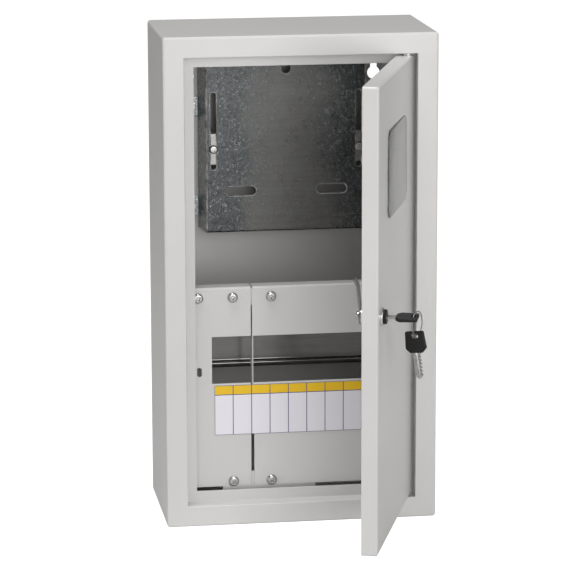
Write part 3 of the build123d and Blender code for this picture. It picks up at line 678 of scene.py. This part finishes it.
def nickel_steel(colour):
    """Nickel-plated key steel with milling lines along the blade and dull handling marks."""
    material = new_material("nickel_steel", Metallic=1.0)
    make = Nodes(material)
    lines = make.noise(scale=2400.0, detail=2.0, place=make.stretched((1.0, 1.0, 0.06)))
    marks = make.noise(scale=420.0, detail=4.0)
    make.colour(make.ramp(marks, (0.30, shade(colour, 0.62)), (0.72, shade(colour, 1.0))))
    make.rough(make.range(marks, 0.24, 0.46))
    make.bump(lines, distance=0.00003, strength=0.35)
    return material


def black_moulding(colour):
    """Black moulded plastic with a fine spark texture and rubbed patches."""
    material = new_material("black_moulding", Specular_IOR_Level=0.38)
    make = Nodes(material)
    rub = make.noise(scale=120.0, detail=3.0)
    make.colour(make.ramp(rub, (0.35, shade(colour, 0.8)), (0.75, shade(colour, 1.7))))
    make.rough(make.range(rub, 0.34, 0.52))
    make.bump(make.noise(scale=2600.0, detail=2.0), distance=0.00005, strength=0.35)
    return material


def clear_pane(name, colour, clearness):
    """Clear moulded sheet with faint flow lines, a little milky."""
    material = new_material(name, Transmission_Weight=clearness, IOR=1.49)
    make = Nodes(material)
    flow = make.noise(scale=34.0, detail=3.0, place=make.stretched((1.0, 1.0, 0.35)))
    make.colour(make.ramp(flow, (0.30, shade(colour, 0.94)), (0.70, shade(colour, 1.04))))
    make.rough(make.range(make.noise(scale=300.0, detail=3.0), 0.10, 0.20))
    make.bump(flow, distance=0.0004, strength=0.2)
    return material


def printed(name, colour, fibre):
    """Printed film: an even ink with a faint grain and a satin surface."""
    material = new_material(name, Specular_IOR_Level=0.4)
    make = Nodes(material)
    grain = make.noise(scale=1800.0, detail=3.0)
    make.colour(make.ramp(grain, (0.30, shade(colour, 1.0 - fibre)),
                          (0.70, shade(colour, 1.0 + fibre / 2))))
    make.rough(make.range(grain, 0.42, 0.56))
    make.bump(grain, distance=0.00002, strength=0.2)
    return material


def pale_floor(glow):
    """Pale floor that reads as white, without lighting the box from below."""
    material = new_material("pale_floor", Base_Color=(0.72, 0.72, 0.72, 1.0), Roughness=0.9,
                            Emission_Color=LIGHTEST)
    make = Nodes(material)
    seen = make.add("ShaderNodeLightPath").outputs["Is Camera Ray"]
    make.set(make.shader.inputs["Emission Strength"], make.math("MULTIPLY", seen, glow))
    return material


MATERIALS = {}


def finish_of(name):
    return MATERIALS[name]


class ENCLOSURE_OT_finishes(bpy.types.Operator):
    """Make the finishes and put them on the sheet metal and the solids that stay as they are"""

    bl_idname = "enclosure.finishes"
    bl_label = "Finish Sheet Metal"

    def execute(self, context):
        colours = context.scene.enclosure_finishes
        flank_light = shade(colours.sheet, FLANK_PAINTED_LIGHT_TONE)
        zinc_shade = shade(colours.zinc, ZINC_SHADE_TONE)
        pane_shade_tint = shade(colours.pane, PANE_EDGE_SHADE)
        MATERIALS.update({
            "paint": powder_coat(colours.paint),
            "sheet": galvanised_sheet("galvanised_sheet", colours.sheet),
            # A lighter copy of the sheet for the plate's side walls: painted light
            "flank_painted_light": galvanised_sheet("clean_galvanised_sheet", flank_light),
            # The bright edge finish: partly bare cut steel, partly a painted highlight
            "edge_highlight": burnished_edge(colours.zinc),
            "rail": rolled_zinc(shade(colours.zinc, RAIL_TONE)),
            "zinc": zinc_plate("zinc_plate", colours.zinc),
            # A darker copy of the zinc for the sliders and the cam: painted shade
            "zinc_painted_shade": zinc_plate("dull_zinc_plate", zinc_shade),
            "plating": bright_plating(colours.plating),
            "key": nickel_steel(colours.zinc),
            "black": black_moulding(colours.grip),
            "pane": clear_pane("clear_pane", colours.pane, PANE_CLEAR),
            # A darker copy of the pane for its edge faces: painted shade
            "pane_edge": clear_pane("pane_edge", pane_shade_tint, PANE_EDGE_CLEAR),
            "header": printed("label_header", colours.header, fibre=0.05),
            "paper": printed("label_paper", colours.paper, fibre=0.03),
            "ink": printed("label_lines", colours.ink, fibre=0.10),
        })
        groups = {
            "paint": PAINTED, "sheet": GALVANISED, "zinc": ZINC_PLATED, "zinc_painted_shade": ZINC_IN_SHADE,
            "plating": PLATED, "black": BLACK, "rail": ("din_rail",), "pane": ("window_pane",),
        }
        for finish, nodes in groups.items():
            for node in nodes:
                mesh = frame["nodes"][node].data
                mesh.materials.clear()
                mesh.materials.append(finish_of(finish))
        return {"FINISHED"}


def pick_front_edges(piece):
    """Select the sharp edges that lie in a piece's foremost plane."""
    mesh = bmesh.from_edit_mesh(piece.data)
    front = min(vert.co.y for vert in mesh.verts)
    for edge in mesh.edges:
        flush = all(vert.co.y < front + FLUSH for vert in edge.verts)
        edge.select_set(flush and edge.calc_face_angle(0.0) > SMOOTH_ANGLE)
    bmesh.update_edit_mesh(piece.data)


class ENCLOSURE_OT_edges(bpy.types.Operator):
    """Round the folded and cut edges of the sheet pieces so that they catch the light; on the bare
    plate, paint its edges bright as a painted highlight and its side walls lighter as painted light
    """

    bl_idname = "enclosure.edges"
    bl_label = "Soften Sheet Edges"

    def execute(self, context):
        sizes = context.scene.enclosure_sizes
        for node in SHEETS:
            sheet = node_copy(node, node + "_sheet")
            bare = node in GALVANISED
            if bare:
                sheet.data.materials.append(finish_of("edge_highlight"))
                sheet.data.materials.append(finish_of("flank_painted_light"))
                # The plate's side walls behind its face take the lighter copy of the sheet: painted
                # light
                flank_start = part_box(node)[0].y + FLANK_SET
                edit(sheet)
                pick_faces(sheet, lambda middle, normal: middle.y > flank_start)
                finish_picked(sheet, SIDE_SLOT)
                # Fold and slot faces, and the rounded front edges below, take the bright edge
                # finish: a painted highlight, partly bare cut steel
                pick_faces(sheet, lambda middle, normal: middle.y < flank_start
                           and abs(normal.x) > FOLD_LEAN)
                finish_picked(sheet, EDGE_SLOT)
                leave()
            edit(sheet, "EDGE")
            pick_all()
            bpy.ops.mesh.dissolve_limited(angle_limit=FLAT_ANGLE)
            if bare:
                pick_front_edges(sheet)
                bpy.ops.mesh.bevel(offset=sizes.punch_round, segments=CORNER_STEPS,
                                   affect="EDGES", material=EDGE_SLOT)
            leave()
            apply(sheet, "BEVEL", width=sizes.edge_round, segments=EDGE_STEPS, limit_method="ANGLE",
                  angle_limit=SMOOTH_ANGLE, use_clamp_overlap=False)
            smooth(sheet)
            apply(sheet, "WEIGHTED_NORMAL", keep_sharp=True, weight=100)
            hand_over(sheet, node)
        return {"FINISHED"}


class ENCLOSURE_OT_window(bpy.types.Operator):
    """Darken the faces on the moulded pane's edge, where it stands proud of the door, as painted
    shade
    """

    bl_idname = "enclosure.window"
    bl_label = "Finish Window"

    def execute(self, context):
        pane = node_copy("window_pane", "moulded_pane")
        pane.data.materials.append(finish_of("pane_edge"))
        door_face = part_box("cabinet_shell")[0].y
        closed = DOOR_TURN.inverted()

        def stands_proud(middle, normal):
            return (closed @ middle).y < door_face and abs((closed.to_3x3() @ normal).y) < EDGE_LEAN

        # The faces on the pane's edge take the darker finish: painted shade
        edit(pane)
        pick_faces(pane, stands_proud)
        finish_picked(pane, EDGE_SLOT)
        leave()
        smooth(pane)
        hand_over(pane, "window_pane")
        return {"FINISHED"}


# Fasteners, each modelled once on +Z with its seat at z = 0
def screw_model(kind, length, reach):
    """Pan-head screw with a cross recess that tapers inwards."""
    screw = start("screw", bpy.ops.mesh.primitive_cylinder_add, vertices=ROUND_STEPS,
                  radius=kind.head_r, depth=kind.head_h, location=(0, 0, kind.head_h / 2))
    settle(screw)
    edit(screw)
    pick_faces(screw, lambda middle, normal: normal.z < -SQUARE)
    bpy.ops.mesh.inset(thickness=kind.head_r - kind.shank_r)
    push(z=-length)
    bpy.ops.mesh.bevel(offset=kind.shank_r * END_CHAMFER, segments=1, affect="EDGES")
    pick_none()
    pick_edges(screw, lambda end: end.z > kind.head_h * NEAR_TOP)
    bpy.ops.mesh.bevel(offset=kind.head_h * HEAD_DOME, segments=DOME_STEPS, profile=0.5,
                       affect="EDGES")
    leave()
    depth = kind.head_h * RECESS_DEPTH
    for angle in (0, pi / 2):
        blade = start("recess", bpy.ops.mesh.primitive_cube_add, size=1)
        blade.scale = (2 * kind.head_r * reach, kind.head_r * RECESS_WIDTH, 2 * depth)
        settle(blade)
        edit(blade)
        pick_faces(blade, lambda middle, normal: normal.z < -SQUARE)
        bpy.ops.transform.resize(value=RECESS_TAPER)
        leave()
        place(blade, Matrix.Translation((0, 0, kind.head_h)) @ Matrix.Rotation(angle, 4, "Z"))
        cut(screw, blade)
    smooth(screw)
    return screw


def nut_model(kind, height):
    """Hexagon nut with chamfered corners and a bore."""
    corner = kind.across / sqrt(3)
    nut = start("nut", bpy.ops.mesh.primitive_cylinder_add, vertices=6, radius=corner,
                depth=height, location=(0, 0, height / 2))
    settle(nut)
    turned = start("turned", bpy.ops.mesh.primitive_cylinder_add, vertices=ROUND_STEPS,
                   radius=corner * TURNED_CLEAR, depth=height, location=(0, 0, height / 2))
    settle(turned)
    edit(turned)
    pick_edges(turned, lambda end: end.z > height * NEAR_TOP)
    bpy.ops.mesh.bevel(offset=height * NUT_CHAMFER, segments=1, affect="EDGES")
    leave()
    cut(nut, turned, "INTERSECT")
    bore = start("bore", bpy.ops.mesh.primitive_cylinder_add, vertices=ROUND_STEPS,
                 radius=kind.bore_r, depth=3 * height)
    cut(nut, bore)
    smooth(nut, NUT_ANGLE)
    return nut


def threaded_rod(kind, length, depth):
    """Stud with a helical thread, on a plain foot."""
    radius, pitch = kind
    rod = start("rod", bpy.ops.mesh.primitive_plane_add, size=radius)
    edit(rod, "VERT")
    pick_all()
    bpy.ops.mesh.merge(type="CENTER")
    pick_all()
    bpy.ops.transform.translate(value=(radius - depth * pitch, 0, 0))
    push(x=depth * pitch, z=pitch * THREAD_FLANK)
    push(z=pitch * THREAD_CREST)
    push(x=-depth * pitch, z=pitch * THREAD_FLANK)
    leave()
    turns = int((length - PLAIN_PITCHES * pitch) / pitch)
    apply(rod, "SCREW", screw_offset=pitch, iterations=turns, steps=THREAD_STEPS,
          render_steps=THREAD_STEPS, axis="Z", use_merge_vertices=True, merge_threshold=WELD)
    edit(rod, "EDGE")
    pick_all()
    bpy.ops.mesh.remove_doubles(threshold=WELD)
    close_ends()
    leave()
    foot = start("foot", bpy.ops.mesh.primitive_cylinder_add, vertices=ROUND_STEPS, radius=radius,
                 depth=pitch, location=(0, 0, pitch / 2))
    settle(foot)
    place(rod, Matrix.Translation((0, 0, pitch * THREAD_START)))
    cut(rod, foot, "UNION")
    smooth(rod, THREAD_ANGLE)
    return rod


class ENCLOSURE_OT_screws(bpy.types.Operator):
    """Model the cross-recessed screws of the covers, rail, meter fixings and lock cam"""

    bl_idname = "enclosure.screws"
    bl_label = "Model Screws"

    def execute(self, context):
        reach = context.scene.enclosure_sizes.recess_reach
        sets = {
            "cover_screws": ("cover_screw_set", M5_SCREW, COVER_SCREW_LENGTH),
            "rail_screws": ("rail_screw_set", M5_SCREW, COVER_SCREW_LENGTH),
            "left_slider_screw": ("left_fixing_screw", M4_SCREW, FIXING_SCREW_LENGTH),
            "right_slider_screw": ("right_fixing_screw", M4_SCREW, FIXING_SCREW_LENGTH),
        }
        for node, (name, kind, length) in sets.items():
            model = screw_model(kind, length, reach)
            places = []
            for number, (low, high) in enumerate(solids(node)):
                seat = Vector(((low.x + high.x) / 2, low.y + kind.head_h, (low.z + high.z) / 2))
                twist = Matrix.Rotation(radians(FIRST_TWIST + TWIST_STEP * number), 4, "Z")
                places.append(Matrix.Translation(seat) @ TO_FRONT @ twist)
            hand_over(copies(model, places, name), node, finish_of("zinc"))
        low, high = solids("cam_screw", DOOR_TURN)[0]
        seat = Vector(((low.x + high.x) / 2, high.y - M4_SCREW.head_h, (low.z + high.z) / 2))
        model = screw_model(M4_SCREW, CAM_SCREW_LENGTH, reach)
        held = copies(model, [DOOR_TURN @ Matrix.Translation(seat) @ TO_BACK], "cam_fixing_screw")
        hand_over(held, "cam_screw", finish_of("zinc"))
        return {"FINISHED"}


class ENCLOSURE_OT_studs(bpy.types.Operator):
    """Model the threaded studs and the nuts on them"""

    bl_idname = "enclosure.studs"
    bl_label = "Model Studs and Nuts"

    def execute(self, context):
        depth = context.scene.enclosure_sizes.thread_depth
        studs = {
            "plate_studs": ("plate_stud_set", M5_THREAD, Matrix(), TO_FRONT),
            "earth_stud": ("earth_stud_thread", M6_THREAD, Matrix(), TO_FRONT),
            "pane_studs": ("pane_stud_set", M4_THREAD, DOOR_TURN, TO_BACK),
            "door_earth_stud": ("door_earth_thread", M6_THREAD, DOOR_TURN, TO_BACK),
        }
        for node, (name, kind, turn, facing) in studs.items():
            places, length = seats(node, turn, facing)
            model = threaded_rod(kind, length, depth)
            hand_over(copies(model, places, name), node, finish_of("zinc"))
        nuts = {
            "plate_nuts": ("plate_nut_set", M5_NUT, Matrix(), TO_FRONT),
            "cover_nuts": ("cover_nut_set", M5_NUT, Matrix(), TO_BACK),
            "earth_nut": ("earth_hex_nut", M6_NUT, Matrix(), TO_FRONT),
            "door_earth_nut": ("door_earth_hex_nut", M6_NUT, DOOR_TURN, TO_BACK),
        }
        for node, (name, kind, turn, facing) in nuts.items():
            places, height = seats(node, turn, facing)
            model = nut_model(kind, height)
            hand_over(copies(model, places, name), node, finish_of("zinc"))
        return {"FINISHED"}


class ENCLOSURE_OT_label(bpy.types.Operator):
    """Model the label: a yellow header over blank fields, with thin printed lines"""

    bl_idname = "enclosure.label"
    bl_label = "Model Label"

    def execute(self, context):
        sizes = context.scene.enclosure_sizes
        low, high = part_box("module_label")
        width = high.x - low.x
        label = start("module_label_print", bpy.ops.mesh.primitive_plane_add, size=1)
        label.scale = (width, high.z - low.z, 1)
        settle(label)
        middle = ((low.x + high.x) / 2, low.y, (low.z + high.z) / 2)
        place(label, Matrix.Translation(middle) @ TO_FRONT)
        header_z = high.z - sizes.header_height
        edit(label)
        cuts = [((0, low.y, header_z), (0, 0, 1))]
        for number in range(1, sizes.label_fields):
            cuts.append(((low.x + width * number / sizes.label_fields, low.y, 0), (1, 0, 0)))
        for point, normal in cuts:
            pick_all()
            bpy.ops.mesh.bisect(plane_co=point, plane_no=normal)
        pick_all()
        bpy.ops.mesh.inset(thickness=sizes.line_width / 2, use_individual=True)
        leave()
        for finish in LABEL_FINISHES:
            label.data.materials.append(finish_of(finish))
        for face in label.data.polygons:
            if face.select:
                finish = "header" if face.center.z > header_z else "paper"
                face.material_index = LABEL_FINISHES.index(finish)
        apply(label, "SOLIDIFY", thickness=high.y - low.y, offset=-1.0)
        hand_over(label, "module_label")
        return {"FINISHED"}


def blade_frame(blade):
    """The blade's middle with its length on Y and its thickness on Z, and its size so turned."""
    mesh = bmesh.new()
    mesh.from_mesh(blade.data)
    flat = max(mesh.faces, key=lambda face: face.calc_area()).normal.copy()
    sharp = [edge for edge in mesh.edges if edge.calc_face_angle(0.0) > SMOOTH_ANGLE]
    longest = max(sharp, key=lambda edge: edge.calc_length())
    along = (longest.verts[0].co - longest.verts[1].co).normalized()
    turn = Matrix((along.cross(flat), along, flat)).transposed().to_4x4()
    spread = list(zip(*[turn.inverted() @ vert.co for vert in mesh.verts]))
    mesh.free()
    low, high = Vector(map(min, spread)), Vector(map(max, spread))
    return turn @ Matrix.Translation((low + high) / 2), high - low


class ENCLOSURE_OT_keys(bpy.types.Operator):
    """Mill the grooves into the two key blades and finish their grips"""

    bl_idname = "enclosure.keys"
    bl_label = "Model Keys"

    def execute(self, context):
        sizes = context.scene.enclosure_sizes
        for node in ("key_blade", "spare_key_blade"):
            blade = node_copy(node, node + "_milled")
            turn, size = blade_frame(blade)
            for side in (-1, 1):
                groove = start("groove", bpy.ops.mesh.primitive_cube_add, size=1)
                groove.scale = (sizes.groove_width, 2 * size.y, 2 * sizes.groove_depth)
                settle(groove)
                edit(groove)
                pick_faces(groove, lambda middle, normal: normal.z * side < -SQUARE)
                bpy.ops.transform.resize(value=(GROOVE_FLOOR, 1.0, 1.0))
                leave()
                aside = side * sizes.groove_width * GROOVE_OFFSET
                place(groove, turn @ Matrix.Translation((aside, 0, side * size.z / 2)))
                cut(blade, groove)
            smooth(blade, BLADE_ANGLE)
            hand_over(blade, node, finish_of("key"))
        for node in ("key_bow", "spare_key_bow"):
            bow = node_copy(node, node + "_grip")
            smooth(bow)
            hand_over(bow, node, finish_of("black"))
        return {"FINISHED"}


class ENCLOSURE_OT_ring(bpy.types.Operator):
    """Wind the split ring that carries the spare key"""

    bl_idname = "enclosure.ring"
    bl_label = "Model Key Ring"

    def execute(self, context):
        turns = context.scene.enclosure_sizes.ring_turns
        low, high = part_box("key_ring")
        side = Vector(JOINTS["spare_swing"]["axis"]).normalized()
        radius = (high.z - low.z - RING_WIRE) / 2
        pitch = RING_WIRE / (turns + 1)
        ring = start("split_key_ring", bpy.ops.mesh.primitive_plane_add, size=1)
        ring.scale = (RING_WIRE, pitch * RING_FILL, 1)
        settle(ring)
        edit(ring, "VERT")
        pick_all()
        bpy.ops.mesh.bevel(offset=pitch * RING_CORNER, segments=CORNER_STEPS, affect="VERTICES")
        pick_all()
        bpy.ops.mesh.delete(type="ONLY_FACE")
        leave()
        place(ring, Matrix.Translation((radius, 0, -pitch * turns / 2)) @ TO_FRONT)
        apply(ring, "SCREW", screw_offset=pitch, iterations=turns, steps=RING_STEPS,
              render_steps=RING_STEPS, axis="Z", use_merge_vertices=False)
        edit(ring, "EDGE")
        close_ends()
        leave()
        axis = side.cross(Vector((0, 0, 1)))
        turn = Matrix((side, axis.cross(side), axis)).transposed().to_4x4()
        place(ring, Matrix.Translation((low + high) / 2) @ turn)
        smooth(ring)
        hand_over(ring, "key_ring", finish_of("key"))
        return {"FINISHED"}


class ENCLOSURE_OT_stage(bpy.types.Operator):
    """Set the pale floor, the soft light and the camera of the photograph"""

    bl_idname = "enclosure.stage"
    bl_label = "Set Stage"

    def execute(self, context):
        settings = context.scene.enclosure_stage
        low, high = CAD_BOX
        floor = start("floor", bpy.ops.mesh.primitive_plane_add, size=settings.floor_size,
                      location=(0, 0, low.z))
        floor.data.materials.append(pale_floor(settings.floor_glow))
        self.set_world(context.scene, settings.sky)
        middle = (low + high) / 2
        for lamp, (spot, size) in LAMPS.items():
            self.set_light(lamp + "_light", spot, middle, size, getattr(settings, lamp))
        self.set_camera(context.scene)
        context.scene.view_settings.view_transform = "Standard"
        return {"FINISHED"}

    def set_world(self, scene, strength):
        """Even light from all round, seen by the camera as white."""
        world = bpy.data.worlds.new("white_surround")
        world.use_nodes = True
        nodes = world.node_tree.nodes
        path = nodes.new("ShaderNodeLightPath")
        level = nodes.new("ShaderNodeMapRange")
        level.inputs["To Min"].default_value = strength
        level.inputs["To Max"].default_value = 1.0
        background = nodes["Background"]
        background.inputs["Color"].default_value = LIGHTEST
        world.node_tree.links.new(path.outputs["Is Camera Ray"], level.inputs["Value"])
        world.node_tree.links.new(level.outputs["Result"], background.inputs["Strength"])
        scene.world = world

    def set_light(self, name, spot, target, size, power):
        data = bpy.data.lights.new(name, "AREA")
        data.shape = "DISK"
        data.size = size
        data.energy = power
        light = bpy.data.objects.new(name, data)
        light.location = spot
        light.rotation_euler = (target - Vector(spot)).to_track_quat("-Z", "Y").to_euler()
        bpy.context.scene.collection.objects.link(light)

    def set_camera(self, scene):
        data = bpy.data.cameras.new("photo_camera")
        data.lens = CAMERA_LENS
        data.sensor_width = CAMERA_SENSOR
        data.shift_x, data.shift_y = CAMERA_SHIFT
        data.clip_end = CAMERA_REACH
        camera = bpy.data.objects.new("photo_camera", data)
        turn = Matrix.Rotation(radians(CAMERA_TURN), 4, "Z")
        tilt = Matrix.Rotation(radians(90 - CAMERA_DOWN), 4, "X")
        roll = Matrix.Rotation(radians(CAMERA_ROLL), 4, "Z")
        camera.matrix_world = Matrix.Translation(CAMERA_PLACE) @ turn @ tilt @ roll
        scene.collection.objects.link(camera)
        scene.camera = camera


STEPS = (ENCLOSURE_OT_finishes, ENCLOSURE_OT_edges, ENCLOSURE_OT_window,
         ENCLOSURE_OT_screws, ENCLOSURE_OT_studs, ENCLOSURE_OT_label,
         ENCLOSURE_OT_keys, ENCLOSURE_OT_ring, ENCLOSURE_OT_stage)


class ENCLOSURE_PT_panel(bpy.types.Panel):
    """Lists the settings and the steps."""

    bl_idname = "ENCLOSURE_PT_panel"
    bl_label = "Wall Enclosure"
    bl_space_type = "VIEW_3D"
    bl_region_type = "UI"
    bl_category = "Enclosure"

    def draw(self, context):
        layout = self.layout
        for group in ("enclosure_finishes", "enclosure_sizes", "enclosure_stage"):
            settings = getattr(context.scene, group)
            box = layout.box()
            for name in settings.__annotations__:
                box.prop(settings, name)
        for step in STEPS:
            layout.operator(step.bl_idname)


CLASSES = (EnclosureFinishes, EnclosureSizes, EnclosureStage, *STEPS, ENCLOSURE_PT_panel)


def register():
    for item in CLASSES:
        bpy.utils.register_class(item)
    bpy.types.Scene.enclosure_finishes = PointerProperty(type=EnclosureFinishes)
    bpy.types.Scene.enclosure_sizes = PointerProperty(type=EnclosureSizes)
    bpy.types.Scene.enclosure_stage = PointerProperty(type=EnclosureStage)


def unregister():
    del bpy.types.Scene.enclosure_stage
    del bpy.types.Scene.enclosure_sizes
    del bpy.types.Scene.enclosure_finishes
    for item in reversed(CLASSES):
        bpy.utils.unregister_class(item)


def main():
    register()
    bpy.ops.enclosure.finishes()
    bpy.ops.enclosure.edges()
    bpy.ops.enclosure.window()
    bpy.ops.enclosure.screws()
    bpy.ops.enclosure.studs()
    bpy.ops.enclosure.label()
    bpy.ops.enclosure.keys()
    bpy.ops.enclosure.ring()
    bpy.ops.enclosure.stage()


if __name__ == "__main__":
    main()
